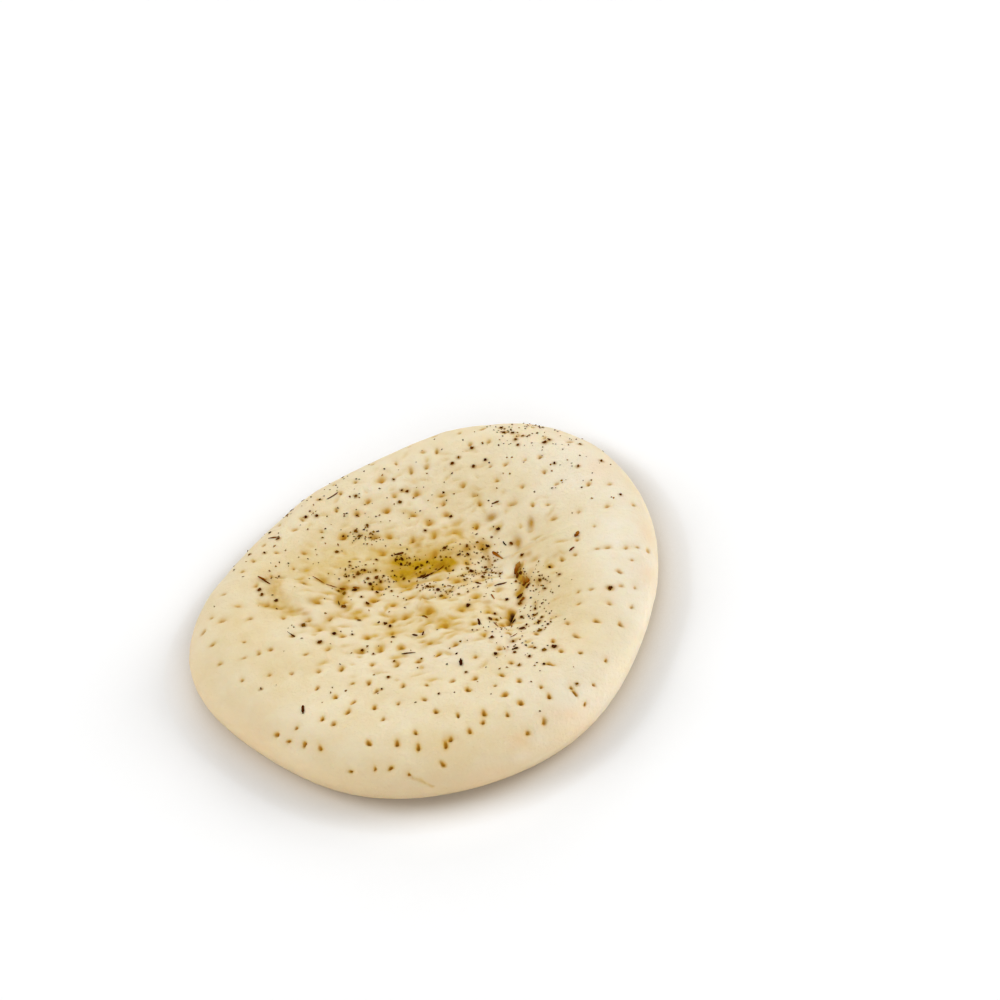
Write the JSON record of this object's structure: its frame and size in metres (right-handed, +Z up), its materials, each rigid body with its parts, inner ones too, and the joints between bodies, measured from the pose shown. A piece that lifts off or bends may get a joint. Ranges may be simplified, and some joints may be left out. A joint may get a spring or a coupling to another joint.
{
  "type": "mini pizza base",
  "caption": "Small round par-baked pizza base with a puffy rim, a sunken folded middle, docking holes and a scatter of dried herbs.",
  "frame": {"origin": "centre of the bounding box at the flat underside", "axes": "+Z up through the top; +Y towards the back, +X to the right of a person who faces the wide rolled front"},
  "size_m": [0.1641, 0.1596, 0.0216],
  "materials": {
    "dough": "matte, floury, lightly oiled in the middle",
    "herbs": "dry crumbled leaf and stalk"
  },
  "bodies": {
    "root": {"pizza_base": "dough"}
  },
  "joints": []
}
